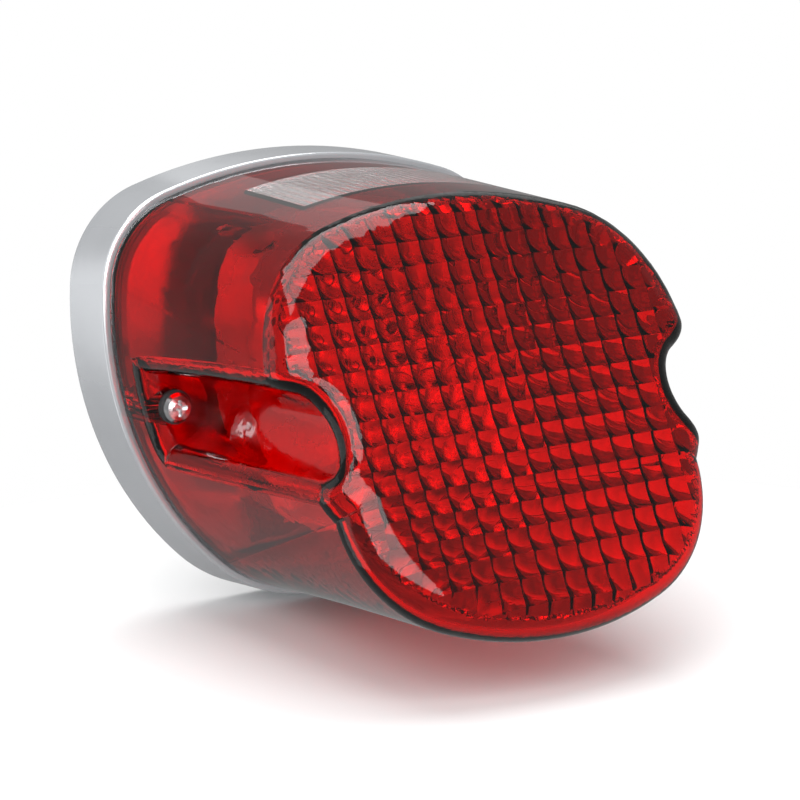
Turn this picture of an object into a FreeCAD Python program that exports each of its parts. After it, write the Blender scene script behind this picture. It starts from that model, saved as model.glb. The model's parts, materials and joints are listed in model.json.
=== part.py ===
import FreeCAD, Part
import math
import os

import Sketcher
from FreeCAD import Placement, Rotation, Vector

# Motorcycle tail light: a chromed base that bolts to a mudguard and a raked red lens.
# +Z is up, the lamp looks along -Y, and the origin is the centre of the mounting holes on
# the base's flat back.

SIZES = {
    # base
    "base_depth": 16.0,
    "back_plate": 3.0,
    "skirt_wall": 2.5,
    "lip_ledge": 5.3,
    "lip_margin": 1.6,
    "lip_round": 0.7,
    "rim_height": 3.5,
    "rim_wall": 1.5,
    "rear_half_width": 64.5,
    "rear_top": 62.3,
    "rear_bottom": -61.0,
    # lens outline where it meets the base
    "joint_half_width": 61.0,
    "joint_top": 60.2,
    "joint_bottom": -58.8,
    "joint_widest_z": 23.0,
    "joint_top_radius": 140.0,
    "joint_upper_radius": 25.0,
    "joint_side_radius": 95.0,
    "joint_lower_radius": 42.0,
    "joint_bottom_radius": 60.0,
    # an outline beyond the face, which the lens's tapering walls run towards
    "far_y": -160.0,
    "far_half_width": 63.0,
    "far_top": 54.0,
    "far_bottom": -45.0,
    "far_widest_z": -4.0,
    "far_top_radius": 130.0,
    "far_upper_radius": 44.0,
    "far_side_radius": 130.0,
    "far_lower_radius": 40.0,
    "far_bottom_radius": 110.0,
    "gasket_thick": 1.0,
    "gasket_inset": 0.4,
    "gasket_width": 2.8,
    "lens_wall": 3.0,
    "face_rake": 29.0,
    "face_foot_y": -143.8,
    "face_foot_z": -42.5,
    "face_edge_radius": 9.0,
    # screw channels down the lens's sides
    "screw_x": 51.0,
    "screw_z": 0.5,
    "seat_y": -32.0,
    "channel_front_x": 62.0,
    "channel_front_z": 5.0,
    "channel_length": 83.0,
    "channel_seat_radius": 10.0,
    "channel_front_radius": 12.2,
    "channel_rim_round": 5.0,
    "lens_boss_radius": 5.2,
    "lens_boss_room": 0.6,
    "lens_hole_room": 0.25,
    "post_radius": 5.0,
    # licence plate window
    "window_width": 60.0,
    "window_back_y": -36.0,
    "window_front_y": -66.0,
    "window_gap": 0.1,
    # lens screws
    "shank_radius": 2.05,
    "shank_length": 24.0,
    "head_radius": 4.0,
    "head_height": 2.6,
    "recess_width": 1.1,
    "recess_depth": 1.6,
    "washer_thick": 1.0,
    "washer_radius": 4.6,
    "screw_clearance": 0.1,
    "insert_radius": 3.2,
    "insert_length": 10.0,
    # mounting inserts on the back
    "mount_spacing": 50.0,
    "mount_bore": 2.1,
    "mount_insert_radius": 3.4,
    "mount_insert_length": 9.0,
    "mount_boss_radius": 5.6,
    "mount_boss_depth": 11.0,
    "pad_thick": 1.2,
    "pad_width": 6.0,
    "pad_inset": 3.0,
    # bulb holder
    "lamp_z": 12.0,
    "shell_bore": 7.75,
    "shell_wall": 0.55,
    "shell_back_y": -9.0,
    "shell_front_y": -38.0,
    "disc_radius": 7.45,
    "insulator_back_y": -9.5,
    "insulator_thick": 2.5,
    "carrier_back_y": -19.0,
    "carrier_thick": 2.5,
    "button_radius": 1.7,
    "button_height": 1.0,
    "contact_x": 3.2,
    "spring_radius": 5.4,
    "spring_wire": 0.45,
    "spring_turns": 4.0,
    "push_travel": 2.0,
    "turn_angle": 25.0,
    "pin_radius": 1.0,
    "pin_clearance": 0.25,
    "pin_reach": 9.2,
    "first_pin_y": -31.5,
    "second_pin_y": -34.5,
    "bracket_y": -13.0,
    "bracket_thick": 1.2,
    "bracket_width": 38.0,
    "bracket_height": 23.0,
    "rivet_x": 13.8,
    "rivet_radius": 1.5,
    "rivet_back_y": -5.0,
    "rivet_head": 2.6,
    "rivet_head_height": 1.2,
    "rivet_boss": 3.6,
    "rivet_gap": 0.02,
    "plate_gap": 0.05,
    # bulb
    "cap_radius": 7.5,
    "cap_back_y": -24.0,
    "cap_front_y": -41.0,
    "cap_wall": 0.45,
    "cap_floor": 2.0,
    "bulb_contact_radius": 1.3,
    "bulb_contact_gap": 0.02,
    "glass_radius": 13.0,
    "glass_front_y": -74.0,
    "glass_wall": 0.7,
    "glass_gap": 0.05,
    "glass_seat": 6.0,
    "stem_radius": 2.4,
    "stem_reach": 4.0,
    "tail_filament_reach": 13.0,
    "brake_filament_reach": 9.0,
    "filament_spread": 4.8,
    "filament_offset": 3.0,
    "filament_radius": 0.6,
    "support_radius": 0.3,
    "support_foot": 1.6,
    "support_z": 1.2,
    # reflector
    "tray_y": -18.3,
    "tray_front_y": -46.0,
    "tray_wall": 1.2,
    "tray_half_width": 33.0,
    "tray_top": 50.0,
    "tray_bottom": -36.0,
    "tray_top_radius": 90.0,
    "tray_corner_radius": 20.0,
    "tray_side_radius": 120.0,
    "tray_bottom_radius": 60.0,
    "tray_draft": 5.0,
    "tray_hole": 9.3,
    "tray_screw_x": 17.0,
    "tray_screw_z": -20.0,
    "tray_post_radius": 3.4,
    "tray_screw_radius": 1.22,
    "tray_screw_bore": 1.25,
    "tray_screw_hole": 1.4,
    "tray_screw_length": 8.0,
    "tray_head_radius": 2.4,
    "tray_head_height": 1.6,
    "tray_slot_width": 0.7,
    "tray_slot_depth": 0.8,
    # connector
    "header_z": -40.0,
    "header_width": 22.0,
    "header_height": 11.0,
    "header_depth": 12.0,
    "header_wall": 1.5,
    "header_gap": 0.1,
    "header_flange": 1.5,
    "flange_margin": 2.0,
    "blade_tail": 2.0,
    "pin_setback": 6.0,
    "pin_rise": 9.0,
    "header_pitch": 6.0,
    "blade_width": 2.4,
    "blade_thick": 0.8,
    "lead_radius": 1.0,
    "lead_y": -6.0,
    "tail_lead_x": -4.0,
    "brake_lead_x": 0.6,
    "ground_lead_x": 7.6,
    "ground_tag": 5.0,
    "ground_tag_x": 5.1,
    "ground_tag_z": 0.4,
    "ground_tag_thick": 0.8,
}

doc = FreeCAD.newDocument("tail_light")
sheet = doc.addObject("Spreadsheet::Sheet", "Sizes")
for row, (alias, value) in enumerate(SIZES.items(), start=1):
    sheet.set("A%d" % row, alias)
    sheet.set("B%d" % row, str(value))
    sheet.setAlias("B%d" % row, alias)
doc.recompute()

PIECES = []
SIDES = {"left": -1, "right": 1}
FRONTWARD = Rotation(Vector(1, 0, 0), 90)
PAST = 1.0  # how far a cutting tool runs on beyond the surface that it opens


def size(alias):
    """Reads one driving size from the sheet, in millimetres or degrees."""
    return float(sheet.get(alias))


def bind(obj, **expressions):
    """Binds properties to expressions over the sheet, whose aliases follow 'Sizes.'."""
    for prop, expression in expressions.items():
        obj.setExpression(prop.replace("__", "."), expression)


def keep(obj, label):
    """Names an object as one finished sub-part."""
    obj.Label = label
    PIECES.append(obj)
    return obj


def shape_piece(label, shape, position=Vector(0, 0, 0)):
    """A sub-part whose shape comes from Part's own functions."""
    obj = doc.addObject("Part::Feature", label)
    obj.Shape = shape
    obj.Placement = Placement(position, Rotation()).multiply(shape.Placement)
    return keep(obj, label)


# ---------------------------------------------------------------- sketches and bodies

def origin_plane(body, role):
    """One of the body's own base planes."""
    return [f for f in body.Origin.OriginFeatures if f.Role == role][0]


def new_sketch(body, name, role="XY_Plane"):
    """An empty sketch on one of the body's base planes."""
    sketch = body.newObject("Sketcher::SketchObject", name)
    sketch.AttachmentSupport = [(origin_plane(body, role), "")]
    sketch.MapMode = "FlatFace"
    return sketch


def draw_profile(sketch, corners):
    """Closed polygon. A corner is (across, along); each is an expression over the sheet, or 0."""
    numbers = [[evaluate(sketch, c) for c in corner] for corner in corners]
    count = len(corners)
    for i in range(count):
        start = Vector(numbers[i][0], numbers[i][1], 0)
        end = Vector(numbers[(i + 1) % count][0], numbers[(i + 1) % count][1], 0)
        sketch.addGeometry(Part.LineSegment(start, end))
    for i in range(count):
        sketch.addConstraint(Sketcher.Constraint("Coincident", i, 2, (i + 1) % count, 1))
    for i, corner in enumerate(corners):
        for kind, axis, place in (("DistanceX", -2, 0), ("DistanceY", -1, 1)):
            if corner[place] == 0:
                sketch.addConstraint(Sketcher.Constraint("PointOnObject", i, 1, axis))
            else:
                value = numbers[i][place]
                index = sketch.addConstraint(Sketcher.Constraint(kind, i, 1, value))
                sketch.setExpression("Constraints[%d]" % index, corner[place])


def evaluate(obj, expression):
    """The number an expression comes to, or 0."""
    return 0.0 if expression == 0 else float(obj.evalExpression(expression))


def turned(label, corners, x=0, z=0):
    """A body turned about an axis along Y at (x, z). Corners are (radius, Y)."""
    body = doc.addObject("PartDesign::Body", label)
    sketch = new_sketch(body, label + "_profile")
    draw_profile(sketch, corners)
    turn = body.newObject("PartDesign::Revolution", label + "_turn")
    turn.Profile = sketch
    turn.ReferenceAxis = (sketch, ["V_Axis"])
    turn.Angle = 360
    body.Tip = turn
    if x != 0:
        body.setExpression("Placement.Base.x", x)
    if z != 0:
        body.setExpression("Placement.Base.z", z)
    doc.recompute()
    return body


def cylinder(name, radius, back_y, length, x="0 mm", z="0 mm"):
    """A Part cylinder whose axis runs along -Y from back_y."""
    obj = doc.addObject("Part::Cylinder", name)
    bind(obj, Radius=radius, Height=length)
    obj.Placement = Placement(Vector(0, 0, 0), FRONTWARD)
    bind(obj, Placement__Base__x=x, Placement__Base__y=back_y, Placement__Base__z=z)
    return obj


def block(name, width, depth, height, x, front_y, z):
    """A Part box centred on x and z, running back from front_y."""
    obj = doc.addObject("Part::Box", name)
    bind(obj, Length=width, Width=depth, Height=height)
    bind(obj, Placement__Base__x="(%s) - (%s) / 2" % (x, width), Placement__Base__y=front_y)
    bind(obj, Placement__Base__z="(%s) - (%s) / 2" % (z, height))
    return obj


def cut(name, base, tool):
    """One Part object cut from another."""
    obj = doc.addObject("Part::Cut", name)
    obj.Base = base
    obj.Tool = tool
    return obj


def fuse(name, shapes):
    """Part objects joined into one solid."""
    obj = doc.addObject("Part::MultiFuse", name)
    obj.Shapes = shapes
    return obj


def group(name, shapes):
    """Several separate solids kept as one sub-part."""
    obj = doc.addObject("Part::Compound", name)
    obj.Links = shapes
    return obj


# ---------------------------------------------------------------- the egg-shaped outline

OUTLINE = ("half_width", "top", "bottom", "widest_z", "top_radius", "upper_radius",
           "side_radius", "lower_radius", "bottom_radius")


def egg_wire(y, half_width, top, bottom, widest_z, r_top, r_upper, r_side, r_lower, r_bottom):
    """Egg outline in the plane at y: eight tangent arcs, mirrored about X = 0."""
    top_c = (0.0, top - r_top)
    side_c = (half_width - r_side, widest_z)
    bottom_c = (0.0, bottom + r_bottom)
    upper_c = max(circle_crossings(top_c, r_top - r_upper, side_c, r_side - r_upper))
    lower_pair = circle_crossings(side_c, r_side - r_lower, bottom_c, r_bottom - r_lower)
    lower_c = min(lower_pair, key=lambda place: place[1])
    joins = [beyond(top_c, upper_c, r_top), beyond(side_c, upper_c, r_side),
             beyond(side_c, lower_c, r_side), beyond(bottom_c, lower_c, r_bottom)]
    stretches = [(upper_c, r_upper), (side_c, r_side), (lower_c, r_lower)]
    right = [(start, middle_of_arc(centre, radius, start, end), end)
             for (centre, radius), start, end in zip(stretches, joins, joins[1:])]

    def arc(places, side=1):
        return Part.Arc(*[Vector(side * x, y, z) for x, z in places]).toShape()

    def across(place, height, side):
        return arc([(-place[0], place[1]), (0, height), place], side)

    edges = [across(joins[0], top, 1)]
    edges += [arc(places) for places in right]
    edges += [across(joins[-1], bottom, -1)]
    edges += [arc(places[::-1], -1) for places in reversed(right)]
    return Part.Wire(edges)


def outline(y, prefix, inset=0.0):
    """One of the named outlines, moved inwards along its normals by inset."""
    values = dict((name, size(prefix + "_" + name)) for name in OUTLINE)
    return egg_wire(y, *inset_values(values, inset))


def inset_values(values, inset):
    """An outline's values after it has moved inwards along its normals."""
    moved = dict(values)
    for name in OUTLINE:
        if name == "bottom":
            moved[name] += inset
        elif name != "widest_z":
            moved[name] -= inset
    return [moved[name] for name in OUTLINE]


def circle_crossings(c1, r1, c2, r2):
    """The two points where two circles cross."""
    dx, dz = c2[0] - c1[0], c2[1] - c1[1]
    gap = math.hypot(dx, dz)
    along = (r1 ** 2 - r2 ** 2 + gap ** 2) / (2 * gap)
    across = math.sqrt(r1 ** 2 - along ** 2)
    foot = (c1[0] + along * dx / gap, c1[1] + along * dz / gap)
    return [(foot[0] + s * across * dz / gap, foot[1] - s * across * dx / gap) for s in (1, -1)]


def beyond(start, through, distance):
    """The point at a distance from start, on the line towards through."""
    dx, dz = through[0] - start[0], through[1] - start[1]
    gap = math.hypot(dx, dz)
    return (start[0] + dx * distance / gap, start[1] + dz * distance / gap)


def middle_of_arc(centre, radius, a, b):
    """The point half way along the short arc from a to b."""
    middle = ((a[0] + b[0]) / 2, (a[1] + b[1]) / 2)
    return beyond(centre, middle, radius)


def joint_outline(y, inset=0.0):
    """The lens's outline where it meets the base."""
    return outline(y, "joint", inset)


def rear_outline(y, inset=0.0):
    """The base's outline at the back of its flared skirt."""
    flare = size("rear_half_width") - size("joint_half_width")
    values = dict((name, size("joint_" + name)) for name in OUTLINE)
    values = dict(zip(OUTLINE, inset_values(values, -flare)))
    values["top"] = size("rear_top")
    values["bottom"] = size("rear_bottom")
    return egg_wire(y, *inset_values(values, inset))


def far_outline(inset=0.0):
    """The outline beyond the face that the lens's walls taper towards."""
    return outline(size("far_y"), "far", inset)


def loft(wires):
    """A ruled solid from the first wire to the last."""
    solid = Part.makeLoft(wires, True, True)
    if solid.Volume < 0:
        solid.reverse()
    return solid


def slab(wire, length):
    """A straight solid from a wire in a plane of constant Y, running towards -Y."""
    return Part.Face(wire).extrude(Vector(0, -length, 0))


def rod(radius, x, z, back_y, front_y):
    """A cylinder along Y from back_y forward to front_y."""
    return Part.makeCylinder(radius, back_y - front_y, Vector(x, back_y, z), Vector(0, -1, 0))


# ---------------------------------------------------------------- base

def base_skirt(lip_y):
    """The flared chrome skirt with its back plate, and the ledge that carries the lens."""
    outer = loft([rear_outline(0), joint_outline(lip_y, -size("lip_margin"))])
    wall = size("skirt_wall")
    ledge_y = lip_y + wall
    plate_y = -size("back_plate")
    hollow = loft([rear_outline(plate_y, wall + PAST), joint_outline(ledge_y, wall)])
    mouth = slab(joint_outline(ledge_y + PAST / 2, size("lip_ledge")), 2 * wall)
    rim_outer = size("lip_ledge") - size("rim_wall")
    rim = slab(joint_outline(ledge_y, rim_outer), wall + size("rim_height"))
    rim = rim.cut(slab(joint_outline(ledge_y + PAST, size("lip_ledge")), 4 * wall))
    shell = outer.cut(hollow).cut(mouth)
    return soften_lip(shell, lip_y).fuse(rim)


def soften_lip(shell, lip_y):
    """Rounds the lip's outer edge, which catches the light as a thin bright line."""
    lip = joint_outline(lip_y, -size("lip_margin"))
    edges = [e for e in shell.Edges if on_wire(e, lip)]
    return shell.makeFillet(size("lip_round"), edges)


def points_along(edge, count=5):
    """Evenly spaced points on an edge, its ends among them."""
    step = (edge.LastParameter - edge.FirstParameter) / (count - 1)
    return [edge.valueAt(edge.FirstParameter + k * step) for k in range(count)]


def on_wire(edge, wire):
    """True where the whole edge lies on the wire."""
    return all(wire.distToShape(Part.Vertex(p))[0] < 1e-4 for p in points_along(edge))


def base_posts(plate_y, lip_y):
    """Posts on the back plate that carry the screws, the mounting inserts, the holder and the tray."""
    posts = []
    for s in SIDES.values():
        mount_x = s * size("mount_spacing") / 2
        posts.append(rod(size("post_radius"), s * size("screw_x"), size("screw_z"), plate_y, lip_y))
        posts.append(rod(size("mount_boss_radius"), mount_x, 0, plate_y, -size("mount_boss_depth")))
        posts.append(rod(size("rivet_boss"), s * size("rivet_x"), size("lamp_z"), plate_y,
                         size("bracket_y")))
        posts.append(rod(size("tray_post_radius"), s * size("tray_screw_x"), size("tray_screw_z"),
                         plate_y, size("tray_y")))
    return posts


def base_bores(lip_y):
    """Bores for the inserts, the rivets and the tray's screws."""
    bores = []
    insert_back = lip_y + size("insert_length")
    for s in SIDES.values():
        bores.append(rod(size("insert_radius"), s * size("screw_x"), size("screw_z"), insert_back,
                         lip_y - PAST))
        bores.append(rod(size("mount_insert_radius"), s * size("mount_spacing") / 2, 0, PAST,
                         -size("mount_insert_length")))
        bores.append(rod(size("rivet_radius"), s * size("rivet_x"), size("lamp_z"),
                         size("rivet_back_y"), size("bracket_y") - PAST))
        bores.append(rod(size("tray_screw_bore"), s * size("tray_screw_x"), size("tray_screw_z"),
                         size("tray_y") + size("tray_screw_length") + 2 * PAST, size("tray_y") - PAST))
    return bores


def header_opening():
    """The window in the back plate that the connector header fills."""
    width, height = size("header_width"), size("header_height")
    plate = size("back_plate")
    corner = Vector(-width / 2, -plate - PAST, size("header_z") - height / 2)
    return Part.makeBox(width, plate + 2 * PAST, height, corner)


def make_base():
    lip_y = -size("base_depth")
    plate_y = -size("back_plate")
    room = size("lens_boss_radius") + size("lens_boss_room")
    body = base_skirt(lip_y)
    body = body.cut([rod(room, s * size("screw_x"), size("screw_z"), lip_y, 2 * lip_y)
                     for s in SIDES.values()])
    body = body.fuse(base_posts(plate_y, lip_y))
    body = body.cut(base_bores(lip_y) + [header_opening()])
    shape_piece("base_housing", body.removeSplitter())


def make_gaskets():
    lip_y = -size("base_depth")
    thick = size("gasket_thick")
    seal = slab(joint_outline(lip_y, size("gasket_inset")), thick)
    seal_inner = joint_outline(lip_y + PAST, size("gasket_inset") + size("gasket_width"))
    shape_piece("lens_gasket", seal.cut(slab(seal_inner, thick + 2 * PAST)))
    thick = size("pad_thick")
    pad = slab(rear_outline(thick, size("pad_inset")), thick)
    pad_inner = rear_outline(thick + PAST, size("pad_inset") + size("pad_width"))
    shape_piece("mounting_gasket", pad.cut(slab(pad_inner, thick + 2 * PAST)))


# ---------------------------------------------------------------- lens

def face_tool(offset=0.0):
    """Everything in front of the raked face, offset inwards along the face's normal."""
    rake = math.radians(size("face_rake"))
    outward = Vector(0, -math.cos(rake), math.sin(rake))
    foot = Vector(0, size("face_foot_y"), size("face_foot_z")) - outward * offset
    reach = -2 * size("far_y")
    box = Part.makeBox(reach, reach, reach, Vector(-reach / 2, -reach / 2, 0))
    box.Placement = Placement(foot, Rotation(Vector(0, 0, 1), outward)).multiply(box.Placement)
    return box, foot, outward


def raked_body(inset, edge_radius, back_y):
    """The lens's tapering body, cut by the raked face, with the face's edge rounded."""
    body = loft([joint_outline(back_y, inset), far_outline(inset)])
    box, foot, outward = face_tool(inset)
    body = body.cut(box)
    edges = [e for e in body.Edges if lies_on_plane(e, foot, outward)]
    return body.makeFillet(edge_radius, edges)


def lies_on_plane(edge, point, normal):
    """True where the whole edge lies in the plane."""
    return all(abs((p - point).dot(normal)) < 1e-3 for p in points_along(edge))


def channel(side, grow=0.0):
    """The half-pipe that leads from the raked face back to a screw's seat."""
    seat = Vector(side * size("screw_x"), size("seat_y") + grow, size("screw_z"))
    mouth = Vector(side * size("channel_front_x"), size("seat_y") - size("channel_length"),
                   size("channel_front_z"))
    reach = 1.6  # lengths of the channel, so that the tool runs out past the face
    far = seat + (mouth - seat) * reach
    r_seat = size("channel_seat_radius") + grow
    r_far = r_seat + reach * (size("channel_front_radius") - size("channel_seat_radius"))
    ends = [Part.Wire(Part.Circle(c, Vector(0, -1, 0), r).toShape())
            for c, r in ((seat, r_seat), (far, r_far))]
    return loft(ends)


def round_rims(body, channels, radius):
    """Cuts the channels and rounds their rims, which run softly into the lens's side."""
    grooved = body.cut(channels)
    rims = [e for e in grooved.Edges if on_skin(e, body) and any(on_skin(e, c) for c in channels)]
    return grooved.makeFillet(radius, rims)


def on_skin(edge, solid):
    """True where the whole edge lies on the solid's surface."""
    skin = solid.Shells[0]
    return all(skin.distToShape(Part.Vertex(p))[0] < 2e-3 for p in points_along(edge))


def window_prism(gap=0.0):
    """The block of space that the window takes out of the lens's top wall."""
    width = size("window_width") + 2 * gap
    front = size("window_front_y") - gap
    depth = size("window_back_y") + gap - front
    height = size("joint_top")
    return Part.makeBox(width, depth, height, Vector(-width / 2, front, height / 2))


def make_lens():
    """The lens with its clear window: a shell of even wall, with bosses behind the screws' seats."""
    back_y = -size("base_depth") - size("gasket_thick")
    wall = size("lens_wall")
    outer = raked_body(0, size("face_edge_radius"), back_y)
    cavity = raked_body(wall, size("face_edge_radius") - wall, back_y)
    bosses = [rod(size("lens_boss_radius"), s * size("screw_x"), size("screw_z"), back_y,
                  size("seat_y") + PAST) for s in SIDES.values()]
    rim = size("channel_rim_round")
    outer = round_rims(outer, [channel(s) for s in SIDES.values()], rim)
    cavity = round_rims(cavity, [channel(s, wall) for s in SIDES.values()], rim - wall).cut(bosses)
    holes = [rod(size("shank_radius") + size("lens_hole_room"), s * size("screw_x"), size("screw_z"),
                 0, 2 * size("seat_y")) for s in SIDES.values()]
    shell = outer.cut(cavity).cut(holes)
    shape_piece("lens", shell.cut(window_prism(size("window_gap"))))
    shape_piece("plate_window", shell.common(window_prism()))


# ---------------------------------------------------------------- screws, inserts and washers

def make_lens_screw(name, side):
    """Pan-head screw with a cross recess, turned about its own axis."""
    seat = "Sizes.seat_y - Sizes.washer_thick"
    head_end = "%s - Sizes.head_height" % seat
    tip = "%s + Sizes.shank_length" % seat
    corners = [
        (0, tip),
        ("Sizes.shank_radius * 0.7", tip),
        ("Sizes.shank_radius", "%s - 1" % tip),
        ("Sizes.shank_radius", seat),
        ("Sizes.head_radius", seat),
        ("Sizes.head_radius", "%s - Sizes.head_height * 0.45" % seat),
        ("Sizes.head_radius * 0.82", "%s - Sizes.head_height * 0.85" % seat),
        ("Sizes.head_radius * 0.45", head_end),
        (0, head_end),
    ]
    body = turned("lens_screw_" + name, corners, "%d * Sizes.screw_x" % side, "Sizes.screw_z")
    recess_end = "%s + Sizes.recess_depth" % head_end
    doc.recompute()
    for role, arm in (("XY_Plane", "a"), ("YZ_Plane", "b")):
        sketch = new_sketch(body, "recess_%s_%s" % (name, arm), role)
        half = "Sizes.head_radius * 0.55"
        low = "%s - 1" % head_end
        if role == "XY_Plane":
            recess = [("-%s" % half, low), (half, low), (half, recess_end), ("-%s" % half, recess_end)]
        else:
            recess = [(low, "-%s" % half), (recess_end, "-%s" % half), (recess_end, half), (low, half)]
        draw_profile(sketch, recess)
        pocket = body.newObject("PartDesign::Pocket", "recess_cut_%s_%s" % (name, arm))
        pocket.Profile = sketch
        pocket.Midplane = True
        pocket.setExpression("Length", "Sizes.recess_width")
        body.Tip = pocket
        before = body.Shape.Volume
        doc.recompute()
        assert body.Shape.Volume < before, pocket.Name
    keep(body, "lens_screw_" + name)


def make_washer(name, side):
    """Sealing washer under a lens screw's head."""
    back = "Sizes.seat_y"
    front = "Sizes.seat_y - Sizes.washer_thick"
    bore = "Sizes.shank_radius + Sizes.screw_clearance"
    corners = [(bore, back), ("Sizes.washer_radius", back), ("Sizes.washer_radius", front), (bore, front)]
    keep(turned("lens_washer_" + name, corners, "%d * Sizes.screw_x" % side, "Sizes.screw_z"),
         "lens_washer_" + name)


def ring(name, outer, bore, back_y, length, x, z):
    """A plain tube along Y from primitives."""
    whole = cylinder(name + "_outer", outer, back_y, length, x, z)
    hole = cylinder(name + "_bore", bore, "%s + 1 mm" % back_y, "(%s) + 2 mm" % length, x, z)
    return cut(name, whole, hole)


def make_inserts():
    """Brass inserts for the lens screws and for the mounting bolts."""
    lens_inserts = []
    mounts = []
    for name, side in SIDES.items():
        lens_inserts.append(ring("lens_insert_" + name, "Sizes.insert_radius * 1 mm",
                                 "(Sizes.shank_radius + Sizes.screw_clearance) * 1 mm",
                                 "(Sizes.insert_length - Sizes.base_depth) * 1 mm",
                                 "Sizes.insert_length * 1 mm", "%d mm * Sizes.screw_x" % side,
                                 "Sizes.screw_z * 1 mm"))
        mounts.append(ring("mount_insert_" + name, "Sizes.mount_insert_radius * 1 mm",
                           "Sizes.mount_bore * 1 mm", "0 mm", "Sizes.mount_insert_length * 1 mm",
                           "%d mm * Sizes.mount_spacing / 2" % side, "0 mm"))
    keep(group("lens_screw_inserts_group", lens_inserts), "lens_screw_inserts")
    keep(group("mounting_inserts_group", mounts), "mounting_inserts")


# ---------------------------------------------------------------- bulb holder

def pin_places():
    """Angle about the lamp's axis and Y of each bayonet pin; offset pins seat the bulb one way."""
    return [(0.0, size("first_pin_y")), (180.0, size("second_pin_y"))]


def make_socket_shell():
    """Thin steel tube with two J slots, open for the pins' whole push and turn."""
    z = size("lamp_z")
    bore = size("shell_bore")
    outer = bore + size("shell_wall")
    back, front = size("shell_back_y"), size("shell_front_y")
    tube = rod(outer, 0, z, back, front).cut(rod(bore, 0, z, back + PAST, front - PAST))
    hole = size("pin_radius") + size("pin_clearance")
    half = math.degrees(hole / outer)
    tools = []
    for angle, pin_y in pin_places():
        deep_y = pin_y + size("push_travel") + hole
        tools.append(wedge(angle - half, size("turn_angle") + 2 * half, deep_y, pin_y - hole))
        tools.append(wedge(angle + size("turn_angle") - half, 2 * half, deep_y, front - PAST))
    shape_piece("socket_shell", tube.cut(tools))


def wedge(start_angle, sweep, back_y, front_y):
    """A sector about the lamp's axis, through the socket's wall. Angles grow about -Y, from +X."""
    inside = size("shell_bore") - PAST
    outside = size("shell_bore") + size("shell_wall") + PAST
    corners = [Vector(inside, back_y, 0), Vector(outside, back_y, 0),
               Vector(outside, front_y, 0), Vector(inside, front_y, 0)]
    section = Part.Face(Part.makePolygon(corners + corners[:1]))
    section.rotate(Vector(0, 0, 0), Vector(0, -1, 0), start_angle)
    piece = section.revolve(Vector(0, 0, 0), Vector(0, -1, 0), sweep)
    piece.translate(Vector(0, 0, size("lamp_z")))
    return piece


def make_socket():
    make_socket_shell()
    z = "Sizes.lamp_z"
    back = "Sizes.insulator_back_y"
    front = "Sizes.insulator_back_y - Sizes.insulator_thick"
    keep(turned("socket_insulator", [(0, back), ("Sizes.disc_radius", back),
                                     ("Sizes.disc_radius", front), (0, front)], 0, z),
         "socket_insulator")
    back = "Sizes.carrier_back_y"
    front = "Sizes.carrier_back_y - Sizes.carrier_thick"
    keep(turned("contact_carrier", [(0, back), ("Sizes.disc_radius", back),
                                    ("Sizes.disc_radius", front), (0, front)], 0, z),
         "contact_carrier")
    buttons = [cylinder("contact_button_" + name, "Sizes.button_radius * 1 mm",
                        "(Sizes.carrier_back_y - Sizes.carrier_thick) * 1 mm",
                        "Sizes.button_height * 1 mm", "%d mm * Sizes.contact_x" % side,
                        "Sizes.lamp_z * 1 mm") for name, side in SIDES.items()]
    keep(group("contact_buttons_group", buttons), "contact_buttons")
    make_contact_spring()
    make_bracket()


def make_contact_spring():
    """Coil spring between the fixed insulator and the contact carrier."""
    wire = size("spring_wire")
    radius = size("spring_radius")
    back = size("insulator_back_y") - size("insulator_thick")
    room = back - size("carrier_back_y")
    length = room - 2 * wire - 0.1
    helix = Part.makeHelix(length / size("spring_turns"), length, radius)
    circle = Part.Wire(Part.Circle(Vector(radius, 0, 0), Vector(0, 1, 0), wire).toShape())
    coil = Part.Wire(helix).makePipeShell([circle], True, True)
    coil.rotate(Vector(0, 0, 0), Vector(1, 0, 0), 90)
    coil.translate(Vector(0, back - wire - 0.05, size("lamp_z")))
    shape_piece("contact_spring", coil)


def make_bracket():
    """The plate that carries the holder, riveted to two posts of the base."""
    deep = "(Sizes.bracket_thick + 4) * 1 mm"
    behind = "(Sizes.bracket_y + 2) * 1 mm"
    plate = block("bracket_plate", "Sizes.bracket_width * 1 mm", "Sizes.bracket_thick * 1 mm",
                  "Sizes.bracket_height * 1 mm", "0 mm",
                  "(Sizes.bracket_y - Sizes.bracket_thick) * 1 mm", "Sizes.lamp_z * 1 mm")
    holes = [cylinder("bracket_hole", "(Sizes.shell_bore + Sizes.shell_wall + Sizes.plate_gap) * 1 mm",
                      behind, deep, "0 mm", "Sizes.lamp_z * 1 mm")]
    rivets = []
    for name, side in SIDES.items():
        x = "%d mm * Sizes.rivet_x" % side
        holes.append(cylinder("rivet_hole_" + name, "(Sizes.rivet_radius + Sizes.plate_gap) * 1 mm",
                              behind, deep, x, "Sizes.lamp_z * 1 mm"))
        shank = cylinder("rivet_shank_" + name, "(Sizes.rivet_radius - Sizes.rivet_gap) * 1 mm",
                         "Sizes.rivet_back_y * 1 mm",
                         "(Sizes.rivet_back_y - Sizes.bracket_y + Sizes.bracket_thick"
                         " + Sizes.rivet_head_height / 4) * 1 mm", x, "Sizes.lamp_z * 1 mm")
        head = cylinder("rivet_head_" + name, "Sizes.rivet_head * 1 mm",
                        "(Sizes.bracket_y - Sizes.bracket_thick) * 1 mm",
                        "Sizes.rivet_head_height * 1 mm", x, "Sizes.lamp_z * 1 mm")
        rivets.append(fuse("rivet_" + name, [shank, head]))
    keep(cut("bracket_cut", plate, fuse("bracket_holes", holes)), "socket_bracket")
    keep(group("rivets_group", rivets), "socket_rivets")


# ---------------------------------------------------------------- bulb

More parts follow.
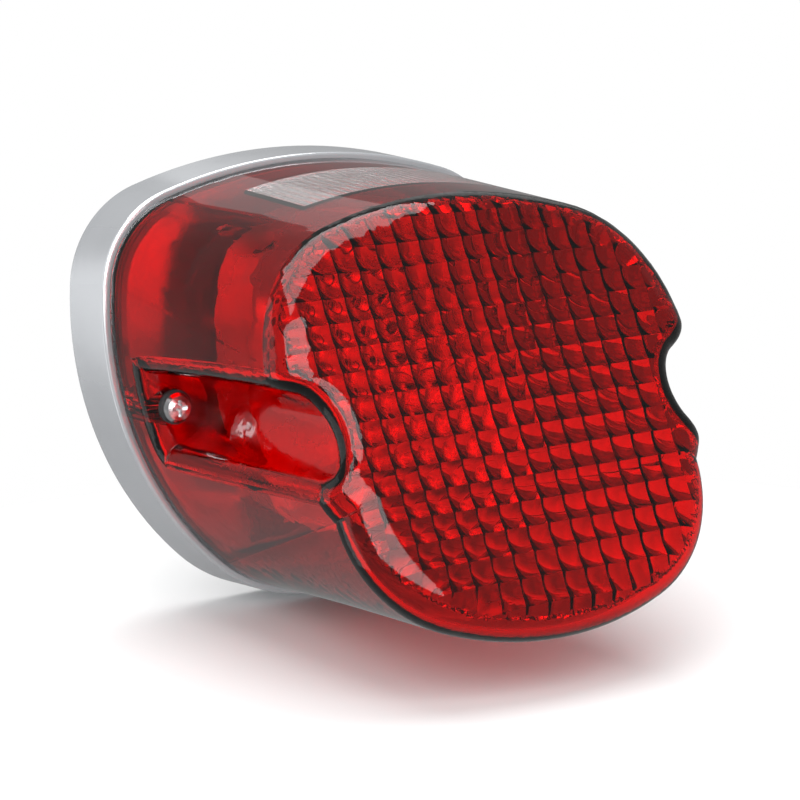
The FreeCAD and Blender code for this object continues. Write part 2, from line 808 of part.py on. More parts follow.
def make_bulb():
    """Twin-filament bayonet bulb: cap, pins, contacts, envelope, stem and filaments."""
    z = "Sizes.lamp_z"
    back, front = "Sizes.cap_back_y", "Sizes.cap_front_y"
    floor, inner = "Sizes.cap_back_y - Sizes.cap_floor", "Sizes.cap_radius - Sizes.cap_wall"
    cap = [(0, back), ("Sizes.cap_radius", back), ("Sizes.cap_radius", front), (inner, front),
           (inner, floor), (0, floor)]
    keep(turned("bulb_cap", cap, 0, z), "bulb_cap")
    make_glass()
    gap = "Sizes.bulb_contact_gap"
    length = "(Sizes.carrier_back_y - Sizes.carrier_thick - Sizes.button_height - %s" % gap
    pads = [cylinder("bulb_contact_" + name, "Sizes.bulb_contact_radius * 1 mm", length + ") * 1 mm",
                     length + " - Sizes.cap_back_y) * 1 mm", "%d mm * Sizes.contact_x" % side,
                     "Sizes.lamp_z * 1 mm") for name, side in SIDES.items()]
    keep(group("bulb_contacts_group", pads), "bulb_contacts")
    pins = []
    for angle, pin_y in pin_places():
        along = 1 if angle == 0 else -1
        start = Vector(along * size("cap_radius"), pin_y, size("lamp_z"))
        pins.append(Part.makeCylinder(size("pin_radius"), size("pin_reach") - size("cap_radius"),
                                      start, Vector(along, 0, 0)))
    cap_body = rod(size("cap_radius"), 0, size("lamp_z"), size("cap_back_y"), size("cap_front_y"))
    shape_piece("bulb_pins", Part.Compound([pin.cut(cap_body) for pin in pins]))
    make_stem_and_filaments()


def glass_profile(inset):
    """Half profile of the bulb's envelope: a neck in the cap, then a round globe."""
    neck = size("cap_radius") - size("cap_wall") - size("glass_gap") - inset
    neck_y = size("cap_back_y") - size("glass_seat")
    radius = size("glass_radius") - inset
    tip_y = size("glass_front_y") + inset
    centre_y = size("glass_front_y") + size("glass_radius")
    blend_y = size("cap_front_y") - 2 * PAST
    shoulder_angle, side_angle = 0.6, -0.5
    start = Vector(0, neck_y - inset, 0)
    lines = [Part.LineSegment(start, Vector(neck, neck_y - inset, 0)).toShape()]
    lines.append(Part.LineSegment(Vector(neck, neck_y - inset, 0), Vector(neck, blend_y, 0)).toShape())
    shoulder = Vector(radius * math.cos(shoulder_angle), centre_y + radius * math.sin(shoulder_angle), 0)
    lines.append(Part.LineSegment(Vector(neck, blend_y, 0), shoulder).toShape())
    middle = Vector(radius * math.cos(side_angle), centre_y + radius * math.sin(side_angle), 0)
    lines.append(Part.Arc(shoulder, middle, Vector(0, tip_y, 0)).toShape())
    lines.append(Part.LineSegment(Vector(0, tip_y, 0), start).toShape())
    return Part.Face(Part.Wire(lines))


def make_glass():
    """The bulb's hollow envelope."""
    outer, inner = [glass_profile(i).revolve(Vector(0, 0, 0), Vector(0, 1, 0), 360)
                    for i in (0, size("glass_wall"))]
    shape_piece("bulb_glass", outer.cut(inner), Vector(0, 0, size("lamp_z")))


def make_stem_and_filaments():
    """The glass stem carries two filaments on stiff wires."""
    z = size("lamp_z")
    start_y = size("cap_back_y") - size("glass_seat") - size("glass_wall")
    stem_y = size("cap_front_y") - size("stem_reach")
    shape_piece("bulb_stem", rod(size("stem_radius"), 0, z, start_y, stem_y))
    filaments = [filament(stem_y, stem_y - size("tail_filament_reach"), z, -1),
                 filament(stem_y, stem_y - size("brake_filament_reach"), z, 1)]
    shape_piece("bulb_filaments", Part.Compound(filaments))


def filament(stem_y, tip_y, z, side):
    """One filament, below or above the lamp's axis, with two supports that stand on the stem."""
    foot_y = stem_y - size("support_radius") / 2
    foot_z = z + side * size("support_z")
    tip_z = foot_z + side * size("filament_offset")
    foot, spread = size("support_foot"), size("filament_spread")
    supports = [stick(size("support_radius"), Vector(s * foot, foot_y, foot_z),
                      Vector(s * spread, tip_y, tip_z)) for s in SIDES.values()]
    coil = stick(size("filament_radius"), Vector(-spread, tip_y, tip_z), Vector(spread, tip_y, tip_z))
    return coil.fuse(supports)


def stick(radius, start, end):
    """A straight round wire from start to end."""
    return Part.makeCylinder(radius, (end - start).Length, start, end - start)


# ---------------------------------------------------------------- reflector

def tray_outline(y, half_width, grow=0.0):
    """The reflector's rounded outline, evenly inside its widest one."""
    inset = size("tray_half_width") - half_width
    corner = size("tray_corner_radius")
    values = dict(zip(OUTLINE, (size("tray_half_width"), size("tray_top"), size("tray_bottom"),
                                size("lamp_z"), size("tray_top_radius"), corner,
                                size("tray_side_radius"), corner, size("tray_bottom_radius"))))
    return egg_wire(y, *inset_values(values, inset - grow))


def make_reflector():
    """A bright dished tray around the bulb holder, screwed to two posts."""
    back, front = size("tray_y"), size("tray_front_y")
    wall = size("tray_wall")
    wide = size("tray_half_width")
    narrow = wide - size("tray_draft")
    floor_y = back - wall
    outer = loft([tray_outline(back, narrow, wall), tray_outline(front, wide, wall)])
    inner = loft([tray_outline(floor_y, narrow), tray_outline(front - PAST / 100, wide)])
    holes = [rod(size("tray_hole"), 0, size("lamp_z"), back + PAST, floor_y - PAST)]
    holes += [rod(size("tray_screw_hole"), s * size("tray_screw_x"), size("tray_screw_z"),
                  back + PAST, floor_y - PAST) for s in SIDES.values()]
    shape_piece("reflector", outer.cut(inner).cut(holes))
    screws = [tray_screw(s * size("tray_screw_x"), size("tray_screw_z"), floor_y) for s in SIDES.values()]
    shape_piece("reflector_screws", Part.Compound(screws))


def tray_screw(x, z, floor_y):
    """Cheese-head screw with a straight slot, its head on the tray's floor."""
    radius, height = size("tray_head_radius"), size("tray_head_height")
    slot_width, slot_depth = size("tray_slot_width"), size("tray_slot_depth")
    shank = rod(size("tray_screw_radius"), x, z, size("tray_y") + size("tray_screw_length"), floor_y)
    head = rod(radius, x, z, floor_y, floor_y - height)
    corner = Vector(x - radius - PAST, floor_y - height, z - slot_width / 2)
    slot = Part.makeBox(2 * (radius + PAST), slot_depth, slot_width, corner)
    return shank.fuse(head).cut(slot)


# ---------------------------------------------------------------- connector and leads

def header_shell():
    """The header's moulding: a box in the back plate, its flange and the plug's cavity."""
    wall, depth, gap = size("header_wall"), size("header_depth"), size("header_gap")
    width, height = size("header_width"), size("header_height")
    margin, flange = size("flange_margin"), size("header_flange")
    z = size("header_z")
    corner = Vector(-width / 2 + gap, -depth, z - height / 2 + gap)
    shell = Part.makeBox(width - 2 * gap, depth, height - 2 * gap, corner)
    flange_at = Vector(-width / 2 - margin, -size("back_plate") - flange, z - height / 2 - margin)
    shell = shell.fuse(Part.makeBox(width + 2 * margin, flange, height + 2 * margin, flange_at))
    cavity_at = Vector(-width / 2 + wall + gap, -depth + wall, z - height / 2 + wall + gap)
    cavity = Part.makeBox(width - 2 * (wall + gap), depth, height - 2 * (wall + gap), cavity_at)
    return shell.cut(cavity)


def blade_pin(x):
    """A flat pin that runs through the header and turns up to its lead."""
    blade, thick = size("blade_width"), size("blade_thick")
    z, end_y = size("header_z"), -size("header_depth") - size("blade_tail")
    reach = -end_y - size("pin_setback")
    run = Part.makeBox(blade, reach, thick, Vector(x - blade / 2, end_y, z - thick / 2))
    rise = Part.makeBox(blade, thick, size("pin_rise"), Vector(x - blade / 2, end_y, z))
    return run.fuse(rise)


def make_connector():
    """Moulded header for a three-way plug, open to the back, with bent blade pins."""
    pins = [blade_pin(k * size("header_pitch")) for k in (-1, 0, 1)]
    shape_piece("connector_header", header_shell().cut(pins).removeSplitter())
    shape_piece("header_pins", Part.Compound(pins))


def lead_tube(points):
    """A wire: straight runs joined by tangent arcs, as large as the shorter run allows."""
    radius = size("lead_radius")
    edges = []
    here = points[0]
    for before, corner, after in zip(points, points[1:], points[2:]):
        back_dir = (before - corner).normalize()
        on_dir = (after - corner).normalize()
        trim = 0.45 * min((before - corner).Length, (after - corner).Length)
        start, end = corner + back_dir * trim, corner + on_dir * trim
        half = back_dir.getAngle(on_dir) / 2
        bisector = (back_dir + on_dir).normalize()
        centre = corner + bisector * (trim / math.cos(half))
        middle = centre - bisector * (trim * math.tan(half))
        edges.append(Part.LineSegment(here, start).toShape())
        edges.append(Part.Arc(start, middle, end).toShape())
        here = end
    edges.append(Part.LineSegment(here, points[-1]).toShape())
    path = Part.Wire(edges)
    circle = Part.Wire(Part.Circle(points[0], points[1] - points[0], radius).toShape())
    tube = path.makePipeShell([circle], True, False)
    expected = math.pi * radius ** 2 * path.Length
    assert abs(tube.Volume - expected) < 0.02 * expected
    return tube


def make_leads():
    """Three leads hold all the way inside, from the bulb holder to the header's pins."""
    z, back_y = size("lamp_z"), size("insulator_back_y")
    thick, tag = size("ground_tag_thick"), size("ground_tag")
    pin_y = -size("header_depth") - size("blade_tail") + size("blade_thick") / 2
    pin_top = size("header_z") + size("pin_rise")
    straight, drop = 5.0, 16.0
    starts = {
        "tail_lead": (-1, Vector(size("tail_lead_x"), back_y, z - 3 * size("lead_radius"))),
        "brake_lead": (0, Vector(size("brake_lead_x"), back_y, z + 3 * size("lead_radius"))),
        "ground_lead": (1, Vector(size("ground_lead_x"), size("bracket_y") + thick,
                                  size("ground_tag_z") + 0.36 * tag)),
    }
    for name, (k, start) in starts.items():
        x = k * size("header_pitch")
        turn_back = Vector(start.x, size("lead_y"), start.z)
        points = [start, turn_back, Vector(start.x * 0.7 + x * 0.3, size("lead_y"), start.z - drop),
                  Vector(x, pin_y, pin_top + straight), Vector(x, pin_y, pin_top)]
        shape_piece(name, lead_tube(points))
    corner = Vector(size("ground_tag_x"), size("bracket_y"), size("ground_tag_z"))
    shape_piece("ground_terminal", Part.makeBox(tag, thick, tag, corner))


# ---------------------------------------------------------------- build, check and write

def make_all():
    """Every sub-part, from the base forward."""
    make_base()
    make_gaskets()
    make_inserts()
    make_lens()
    for name, side in SIDES.items():
        make_lens_screw(name, side)
        make_washer(name, side)
    make_socket()
    make_bulb()
    make_reflector()
    make_connector()
    make_leads()


def check_and_write():
    """Stops on a bad object or shape, then writes each sub-part's STEP file and prints its size."""
    doc.recompute()
    for obj in doc.Objects:
        bad = [word for word in obj.State if word in ("Invalid", "Error")]
        assert not bad, (obj.Label, obj.State)
    os.makedirs("parts", exist_ok=True)
    for piece in PIECES:
        shape = piece.Shape
        assert not shape.isNull() and shape.isValid(), piece.Label
        shape.exportStep("parts/%s.step" % piece.Label)
        box = shape.optimalBoundingBox()
        print("%-22s %8.0f mm3 %d solids  X %.1f %.1f  Y %.1f %.1f  Z %.1f %.1f" % (
            piece.Label, shape.Volume, len(shape.Solids), box.XMin, box.XMax,
            box.YMin, box.YMax, box.ZMin, box.ZMax))


make_all()
check_and_write()
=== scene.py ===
"""Looks of the motorcycle tail light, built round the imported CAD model. Metres, in the row frame."""

import json
import math

import bmesh
import bpy
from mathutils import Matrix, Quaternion, Vector
from mathutils.kdtree import KDTree


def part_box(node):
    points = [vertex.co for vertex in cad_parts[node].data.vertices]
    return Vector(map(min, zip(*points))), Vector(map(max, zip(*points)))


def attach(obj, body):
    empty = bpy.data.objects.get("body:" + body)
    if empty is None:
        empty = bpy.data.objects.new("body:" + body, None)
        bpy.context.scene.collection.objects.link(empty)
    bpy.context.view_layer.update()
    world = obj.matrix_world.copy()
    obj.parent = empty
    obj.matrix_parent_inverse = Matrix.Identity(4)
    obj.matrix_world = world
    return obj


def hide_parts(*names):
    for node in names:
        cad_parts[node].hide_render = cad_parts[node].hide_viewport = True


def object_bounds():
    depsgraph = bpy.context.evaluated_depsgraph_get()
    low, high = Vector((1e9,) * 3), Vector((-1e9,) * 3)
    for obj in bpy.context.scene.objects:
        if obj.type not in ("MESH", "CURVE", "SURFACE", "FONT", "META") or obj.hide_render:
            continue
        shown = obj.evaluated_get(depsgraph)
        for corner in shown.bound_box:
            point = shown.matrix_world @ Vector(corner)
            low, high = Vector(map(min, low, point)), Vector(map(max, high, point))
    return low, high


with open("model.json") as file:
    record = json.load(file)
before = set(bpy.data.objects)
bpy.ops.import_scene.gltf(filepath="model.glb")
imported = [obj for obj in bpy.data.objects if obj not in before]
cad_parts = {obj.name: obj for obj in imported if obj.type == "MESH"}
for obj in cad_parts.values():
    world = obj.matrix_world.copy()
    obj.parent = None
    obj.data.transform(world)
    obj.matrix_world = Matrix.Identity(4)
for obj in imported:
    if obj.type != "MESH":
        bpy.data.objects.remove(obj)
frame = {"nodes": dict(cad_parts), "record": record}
CAD_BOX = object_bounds()

MM = 0.001
X_AXIS = Vector((1, 0, 0))

# The raked face of the lens: its outward direction, and the direction up along it.
FACE_RAKE = math.radians(29)
FACE_OUT = Vector((0, -math.cos(FACE_RAKE), math.sin(FACE_RAKE)))
FACE_UP = Vector((0, math.sin(FACE_RAKE), math.cos(FACE_RAKE)))
LENS_WALL = 3.0 * MM

# Tolerances: vertices on one seam, a vertex on a cutting plane, a face in a plane, and a hair's
# breadth into a cell. The last two are cosines of a face that is square to a direction.
SEAM = 1e-8
ON_CUT = 1e-7
FLATNESS = 0.02 * MM
INTO_CELL = 1e-6
NEARLY_SQUARE = 0.99
SQUARE = 0.9999

# The pillows moulded inside the face: square cells, each a shallow dome cut into steps. They run
# on over the rounded edge, as far as it leans by PILLOW_LEAN (a cosine) and lies EDGE_DROP behind.
PILLOW_PITCH = 6.35 * MM
PILLOW_RADIUS = 6.6 * MM
PILLOW_STEPS = 6
PILLOW_LEAN = 0.62
EDGE_DROP = 3.0 * MM

# The ribs moulded under the clear window, each cut into steps, on the faces that look down by at
# least UNDERSIDE (a cosine).
RIB_PITCH = 2.4 * MM
RIB_HEIGHT = 0.45 * MM
RIB_STEPS = 4
UNDERSIDE = 0.9

# Refractive indices of acrylic and of soft glass.
ACRYLIC = 1.49
BULB_GLASS = 1.45

# A texture's middle range, where nearly all of a noise's values lie.
NOISE_LOW, NOISE_HIGH = 0.3, 0.7

# The studio.
FLOOR_RADIUS = 0.21
FLOOR_SEGMENTS = 96
FLOOR_GAP = 1.0 * MM
ROOM_BRIGHTNESS = 0.28
CAMERA_AZIMUTH = math.radians(-31.92)
CAMERA_ELEVATION = math.radians(10.8)
CAMERA_ROLL = math.radians(-1.01)
CAMERA_DISTANCE = 0.7496
CAMERA_AIM = Vector((-0.0182, -0.091, 0.0074))
FOCAL_LENGTH = 135
SENSOR_WIDTH = 36


# ---------------------------------------------------------------- materials

def new_material(name):
    """A material with a Principled shader: (material, its nodes, its links, the shader)."""
    mat = bpy.data.materials.new(name)
    mat.use_nodes = True
    nodes = mat.node_tree.nodes
    return mat, nodes, mat.node_tree.links, nodes["Principled BSDF"]


def noise(nodes, links, scale, detail=4.0, stretch=(1, 1, 1)):
    """The value of a noise over the object's own coordinates, stretched along its axes."""
    coords = nodes.new("ShaderNodeTexCoord")
    mapping = nodes.new("ShaderNodeMapping")
    mapping.inputs["Scale"].default_value = stretch
    texture = nodes.new("ShaderNodeTexNoise")
    texture.inputs["Scale"].default_value = scale
    texture.inputs["Detail"].default_value = detail
    links.new(coords.outputs["Object"], mapping.inputs["Vector"])
    links.new(mapping.outputs["Vector"], texture.inputs["Vector"])
    return texture.outputs["Fac"]


def ramp(nodes, links, value, low, high):
    """Colours from low to high as the value goes over its middle range."""
    node = nodes.new("ShaderNodeValToRGB")
    node.color_ramp.elements[0].position = NOISE_LOW
    node.color_ramp.elements[1].position = NOISE_HIGH
    node.color_ramp.elements[0].color = (*low, 1)
    node.color_ramp.elements[1].color = (*high, 1)
    links.new(value, node.inputs["Fac"])
    return node.outputs["Color"]


def spread(nodes, links, value, low, high):
    """A number from low to high as the value goes over its middle range."""
    node = nodes.new("ShaderNodeMapRange")
    node.inputs["From Min"].default_value = NOISE_LOW
    node.inputs["From Max"].default_value = NOISE_HIGH
    node.inputs["To Min"].default_value = low
    node.inputs["To Max"].default_value = high
    links.new(value, node.inputs["Value"])
    return node.outputs["Result"]


def bump(nodes, links, shader, value, height):
    """Fine relief of that height, in metres, on the shader's normal."""
    node = nodes.new("ShaderNodeBump")
    node.inputs["Strength"].default_value = 0.6
    node.inputs["Distance"].default_value = height
    links.new(value, node.inputs["Height"])
    links.new(node.outputs["Normal"], shader.inputs["Normal"])


def surface(name, low, high, rough, metal=0.0, scale=400.0, stretch=(1, 1, 1), relief=0.0, coat=0.0):
    """An opaque finish whose colour and roughness vary over the surface."""
    mat, nodes, links, shader = new_material(name)
    value = noise(nodes, links, scale, stretch=stretch)
    links.new(ramp(nodes, links, value, low, high), shader.inputs["Base Color"])
    links.new(spread(nodes, links, value, *rough), shader.inputs["Roughness"])
    shader.inputs["Metallic"].default_value = metal
    shader.inputs["Coat Weight"].default_value = coat
    if relief:
        bump(nodes, links, shader, value, relief)
    return mat


def clear(name, low, high, rough, ior, scale=60.0, absorb=None, clearness=1.0, gloss=0.5):
    """A see-through finish. absorb is the (colour, density per metre) of the material's body."""
    mat, nodes, links, shader = new_material(name)
    value = noise(nodes, links, scale)
    links.new(ramp(nodes, links, value, low, high), shader.inputs["Base Color"])
    links.new(spread(nodes, links, value, *rough), shader.inputs["Roughness"])
    shader.inputs["Transmission Weight"].default_value = clearness
    shader.inputs["Specular IOR Level"].default_value = gloss
    shader.inputs["IOR"].default_value = ior
    if absorb:
        volume = nodes.new("ShaderNodeVolumeAbsorption")
        volume.inputs["Color"].default_value = (*absorb[0], 1)
        volume.inputs["Density"].default_value = absorb[1]
        links.new(volume.outputs["Volume"], nodes["Material Output"].inputs["Volume"])
    return mat


def make_materials():
    """One material for each of the record's slots."""
    return {
        **make_metals(),
        **make_clear_materials(),
        **make_dark_materials(),
    }


def make_metals():
    """Plated, turned and soldered metal."""
    steel = (0.62, 0.63, 0.65)
    pale_steel = (0.78, 0.79, 0.80)
    return {
        "chrome": surface(
            "chrome_plate", (0.70, 0.725, 0.755), (0.77, 0.79, 0.82), (0.16, 0.24), metal=0.72, scale=30.0),
        "brass": surface(
            "brass", (0.62, 0.45, 0.19), (0.76, 0.58, 0.28), (0.18, 0.32), metal=1.0, scale=500.0),
        "zinc_steel": surface(
            "zinc_plated_steel", steel, pale_steel, (0.14, 0.26), metal=1.0, scale=600.0),
        "bright_reflector": surface(
            "metallised", (0.84, 0.84, 0.85), (0.87, 0.87, 0.88), (0.26, 0.30), metal=1.0, scale=40.0),
        "tungsten": surface(
            "tungsten", (0.16, 0.16, 0.17), (0.26, 0.26, 0.27), (0.3, 0.45), metal=1.0, scale=900.0),
        "solder": surface(
            "solder", (0.5, 0.5, 0.51), (0.66, 0.66, 0.67), (0.25, 0.45), metal=1.0, scale=800.0,
            relief=0.05 * MM),
    }


def make_clear_materials():
    """The red and the clear acrylic, and the bulb's glass."""
    return {
        "red_lens": clear(
            "red_acrylic", (0.97, 0.93, 0.93), (1.0, 0.98, 0.98), (0.0, 0.012), ACRYLIC, scale=40.0,
            absorb=((0.972, 0.02, 0.06), 1900.0), gloss=0.2),
        "clear_plastic": clear(
            "clear_acrylic", (0.93, 0.88, 0.88), (0.98, 0.95, 0.95), (0.02, 0.07), ACRYLIC, scale=90.0,
            clearness=0.86),
        "clear_glass": clear(
            "bulb_glass", (0.98, 0.98, 0.98), (1.0, 1.0, 1.0), (0.0, 0.01), BULB_GLASS, scale=80.0),
    }


def make_dark_materials():
    """Rubber, board, nylon and the leads' insulation."""
    return {
        "black_rubber": surface(
            "black_rubber", (0.012, 0.012, 0.013), (0.03, 0.03, 0.032), (0.55, 0.75), scale=900.0,
            relief=0.05 * MM),
        "phenolic": surface(
            "phenolic_board", (0.16, 0.07, 0.03), (0.26, 0.12, 0.05), (0.35, 0.5), scale=700.0,
            stretch=(1, 6, 1), coat=0.2),
        "header_plastic": surface(
            "black_nylon", (0.015, 0.015, 0.016), (0.035, 0.035, 0.037), (0.3, 0.45), scale=700.0,
            relief=0.03 * MM),
        "red_insulation": surface(
            "red_insulation", (0.45, 0.02, 0.015), (0.6, 0.04, 0.03), (0.3, 0.45), scale=300.0),
        "blue_insulation": surface(
            "blue_insulation", (0.02, 0.06, 0.35), (0.04, 0.1, 0.5), (0.3, 0.45), scale=300.0),
        "black_insulation": surface(
            "black_insulation", (0.012, 0.012, 0.012), (0.03, 0.03, 0.03), (0.3, 0.45), scale=300.0),
    }


# ---------------------------------------------------------------- moulded optics

def solid_of(node):
    """The CAD node's mesh with its seams joined, keeping each corner's exact normal in a layer."""
    mesh = frame["nodes"][node].data.copy()
    normals = mesh.attributes.new("cad_normal", "FLOAT_VECTOR", "CORNER")
    for corner, normal in enumerate(mesh.corner_normals):
        normals.data[corner].vector = normal.vector
    bm = bmesh.new()
    bm.from_mesh(mesh)
    bpy.data.meshes.remove(mesh)
    bmesh.ops.remove_doubles(bm, verts=bm.verts, dist=SEAM)
    return bm


def faces_on(bm, at, direction):
    """The faces that lie in the plane through at, square to direction, and look along it."""
    return [
        f for f in bm.faces
        if f.normal.dot(direction) > NEARLY_SQUARE
        and all(abs((v.co - at).dot(direction)) < FLATNESS for v in f.verts)
    ]


def slice_faces(bm, faces, origin, direction, pitch, reach):
    """The faces cut by equally spaced planes square to direction, out to reach on both sides of origin."""
    mark = bm.faces.layers.int["moulded"]
    count = math.ceil(reach / pitch)
    for k in range(-count, count + 1):
        plane = origin + direction * (k * pitch)
        edges = dict.fromkeys(e for f in faces for e in f.edges)
        verts = dict.fromkeys(v for e in edges for v in e.verts)
        geometry = [*faces, *edges, *verts]
        bmesh.ops.bisect_plane(bm, geom=geometry, dist=ON_CUT, plane_co=plane, plane_no=direction)
        faces = [f for f in bm.faces if f[mark]]
    return faces


def edge_distances(faces):
    """How far each vertex of a patch of faces is from the patch's edge."""
    inside = set(faces)
    edges = dict.fromkeys(e for f in faces for e in f.edges)
    rim = dict.fromkeys(v for e in edges if len(inside.intersection(e.link_faces)) == 1 for v in e.verts)
    tree = KDTree(len(rim))
    for k, v in enumerate(rim):
        tree.insert(v.co, k)
    tree.balance()
    return {v: tree.find(v.co)[2] for f in faces for v in f.verts}


def finished(bm, name, moulded_normal):
    """The mesh as an object: CAD normals outside the moulded faces, the relief's own normals on them."""
    kept = bm.loops.layers.float_vector["cad_normal"]
    mark = bm.faces.layers.int["moulded"]
    normals = []
    for face in bm.faces:
        face.smooth = True
        for loop in face.loops:
            normals.append(moulded_normal(face, loop) if face[mark] else loop[kept].normalized())
    mesh = bpy.data.meshes.new(name)
    bm.to_mesh(mesh)
    bm.free()
    mesh.attributes.remove(mesh.attributes["cad_normal"])
    mesh.normals_split_custom_set(normals)
    obj = bpy.data.objects.new(name, mesh)
    bpy.context.scene.collection.objects.link(obj)
    return obj


def make_lens(material):
    """The red lens, with rows of square pillows moulded on the inside of its raked face."""
    bm = solid_of("lens")
    mark = bm.faces.layers.int.new("moulded")
    exact = bm.loops.layers.float_vector["cad_normal"]
    foot = max(bm.verts, key=lambda v: v.co.dot(FACE_OUT)).co
    inner = foot - FACE_OUT * LENS_WALL
    flat_part = bmesh.ops.dissolve_faces(bm, faces=faces_on(bm, inner, -FACE_OUT))["region"]
    round_part = [
        f for f in bm.faces
        if PILLOW_LEAN < f.normal.dot(-FACE_OUT) < SQUARE
        and all((v.co - inner).dot(FACE_OUT) > -EDGE_DROP for v in f.verts)
    ]
    patch = flat_part + round_part
    for face in patch:
        face[mark] = 1
    low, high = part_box("lens")
    heights = [v.co.dot(FACE_UP) for f in patch for v in f.verts]
    middle = (min(heights) + max(heights)) / 2
    origin = inner + FACE_UP * (middle - inner.dot(FACE_UP))
    origin.x = 0.0
    step = PILLOW_PITCH / PILLOW_STEPS
    patch = slice_faces(bm, patch, origin, X_AXIS, step, high.x)
    patch = slice_faces(bm, patch, origin, FACE_UP, step, (high - low).length / 2)
    depth = PILLOW_PITCH ** 2 / 4 / PILLOW_RADIUS
    from_edge = edge_distances(patch)
    flat = {v: v.co.copy() for v in from_edge}

    def local(co, centre):
        """Place across and up a pillow, from the middle of the pillow that holds centre."""
        across, up = (centre - origin).dot(X_AXIS), (centre - origin).dot(FACE_UP)
        x = (co - origin).dot(X_AXIS) - (math.floor(across / PILLOW_PITCH) + 0.5) * PILLOW_PITCH
        y = (co - origin).dot(FACE_UP) - (math.floor(up / PILLOW_PITCH) + 0.5) * PILLOW_PITCH
        return x, y

    def crown(v):
        x, y = local(flat[v], flat[v] + (X_AXIS + FACE_UP) * INTO_CELL)
        return depth - (x * x + y * y) / (2 * PILLOW_RADIUS)

    for v, reached in from_edge.items():
        v.co = flat[v] - FACE_OUT * min(crown(v), reached)
    bm.normal_update()

    def normal(face, loop):
        """The pillow's slope added to the lean of the lens's own inner surface."""
        if any(from_edge[w] < crown(w) for w in face.verts):
            return face.normal.copy()
        centre = sum((flat[w] for w in face.verts), Vector()) / len(face.verts)
        x, y = local(flat[loop.vert], centre)
        own = loop[exact].normalized()
        own /= max(-own.dot(FACE_OUT), PILLOW_LEAN)
        return (own + X_AXIS * (x / PILLOW_RADIUS) + FACE_UP * (y / PILLOW_RADIUS)).normalized()

    lens = finished(bm, "lens_moulding", normal)
    lens.data.materials.clear()
    lens.data.materials.append(material)
    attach(lens, "lens_assembly")
    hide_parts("lens")


def make_window(material):
    """The clear window, with ribs moulded underneath that run from front to back."""
    bm = solid_of("plate_window")
    mark = bm.faces.layers.int.new("moulded")
    patch = [f for f in bm.faces if f.normal.z < -UNDERSIDE]
    for face in patch:
        face[mark] = 1
    low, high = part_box("plate_window")
    patch = slice_faces(bm, patch, Vector(), X_AXIS, RIB_PITCH / RIB_STEPS, high.x)

    def across(x, middle):
        """How far x is from the middle line of the rib that holds middle."""
        return x - (math.floor(middle / RIB_PITCH + 0.5)) * RIB_PITCH

    curve = 4 * RIB_HEIGHT / RIB_PITCH ** 2
    for v in {v for f in patch for v in f.verts}:
        v.co.z -= max(0.0, RIB_HEIGHT - curve * across(v.co.x, v.co.x) ** 2)
    bm.normal_update()

    def normal(face, loop):
        slope = 2 * curve * across(loop.vert.co.x, face.calc_center_median().x)
        return (Vector((0, 0, -1)) + X_AXIS * slope).normalized()

    window = finished(bm, "window_moulding", normal)
    window.data.materials.clear()
    window.data.materials.append(material)
    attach(window, "lens_assembly")
    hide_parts("plate_window")


# ---------------------------------------------------------------- scene

def dress_nodes(materials):
    """Every CAD node that is shown gets the full material of its own slot."""
    for node in frame["record"]["subparts"]:
        obj = frame["nodes"][node["node"]]
        obj.data.materials.clear()
        obj.data.materials.append(materials[node["material_slot"]])


def make_floor(centre, low):
    """A plain pale round floor just under the lamp, left out of glossy reflections."""
    bm = bmesh.new()
    bmesh.ops.create_circle(bm, cap_ends=True, radius=FLOOR_RADIUS, segments=FLOOR_SEGMENTS)
    bmesh.ops.translate(bm, verts=bm.verts, vec=Vector((centre.x, centre.y, low.z - FLOOR_GAP)))
    mesh = bpy.data.meshes.new("floor")
    bm.to_mesh(mesh)
    bm.free()
    pale = surface("pale_floor", (0.87, 0.87, 0.87), (0.89, 0.89, 0.89), (0.7, 0.8), scale=3.0)
    mesh.materials.append(pale)
    floor = bpy.data.objects.new("floor", mesh)
    bpy.context.scene.collection.objects.link(floor)
    floor.visible_glossy = False


def add_panel(name, aim, direction, distance, size, radiance):
    """A soft rectangular lamp out along direction from aim, facing it, of even brightness."""
    data = bpy.data.lights.new(name, "AREA")
    data.shape = "RECTANGLE"
    data.size, data.size_y = size
    data.energy = radiance * math.pi * size[0] * size[1]
    lamp = bpy.data.objects.new(name, data)
    out = Vector(direction).normalized()
    lamp.location = aim + out * distance
    lamp.rotation_euler = out.to_track_quat("Z", "Y").to_euler()
    lamp.visible_camera = False
    bpy.context.scene.collection.objects.link(lamp)


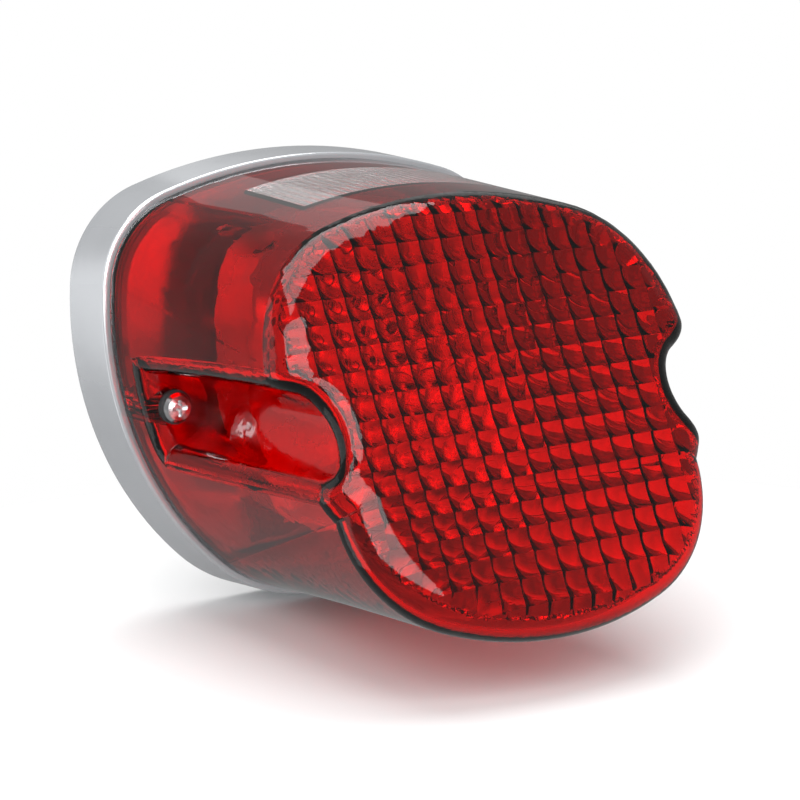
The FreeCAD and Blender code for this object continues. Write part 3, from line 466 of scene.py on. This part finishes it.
def make_world():
    """A white backdrop, in a room that is dimmer where it only lights and reflects."""
    world = bpy.data.worlds.new("studio")
    world.use_nodes = True
    nodes, links = world.node_tree.nodes, world.node_tree.links
    room = nodes["Background"]
    room.inputs["Color"].default_value = (1.0, 1.0, 1.0, 1)
    room.inputs["Strength"].default_value = ROOM_BRIGHTNESS
    backdrop = nodes.new("ShaderNodeBackground")
    backdrop.inputs["Color"].default_value = (1.0, 1.0, 1.0, 1)
    seen = nodes.new("ShaderNodeLightPath")
    mix = nodes.new("ShaderNodeMixShader")
    links.new(seen.outputs["Is Camera Ray"], mix.inputs["Fac"])
    links.new(room.outputs["Background"], mix.inputs[1])
    links.new(backdrop.outputs["Background"], mix.inputs[2])
    links.new(mix.outputs["Shader"], nodes["World Output"].inputs["Surface"])
    bpy.context.scene.world = world


def make_lights(centre):
    """Soft lamps overhead, at the front left, behind and at the back left."""
    add_panel("overhead", centre, (0.0, 0.1, 1.0), distance=1.2, size=(1.3, 1.3), radiance=2.9)
    add_panel("key", centre, (-0.45, -0.85, 0.45), distance=1.4, size=(1.8, 1.8), radiance=3.4)
    add_panel("behind", centre, (0.50, 0.68, 0.52), distance=1.5, size=(0.9, 0.5), radiance=0.35)
    add_panel("back_left", centre, (-0.85, 0.5, 0.0), distance=1.2, size=(0.9, 1.8), radiance=0.65)


def make_camera():
    """A long lens looking at the lamp from its front left, a little above."""
    back = Vector((
        math.sin(CAMERA_AZIMUTH) * math.cos(CAMERA_ELEVATION),
        -math.cos(CAMERA_AZIMUTH) * math.cos(CAMERA_ELEVATION),
        math.sin(CAMERA_ELEVATION),
    ))
    data = bpy.data.cameras.new("camera")
    data.lens = FOCAL_LENGTH
    data.sensor_width = SENSOR_WIDTH
    camera = bpy.data.objects.new("camera", data)
    camera.location = CAMERA_AIM + back * CAMERA_DISTANCE
    turn = (-back).to_track_quat("-Z", "Y")
    camera.rotation_mode = "QUATERNION"
    camera.rotation_quaternion = turn @ Quaternion((0, 0, 1), CAMERA_ROLL)
    bpy.context.scene.collection.objects.link(camera)
    bpy.context.scene.camera = camera


materials = make_materials()
dress_nodes(materials)
make_lens(materials["red_lens"])
make_window(materials["clear_plastic"])
low, high = CAD_BOX
centre = (low + high) / 2
make_floor(centre, low)
make_world()
make_lights(centre)
make_camera()
bpy.context.scene.view_settings.view_transform = "Standard"
bpy.context.scene.cycles.use_denoising = True
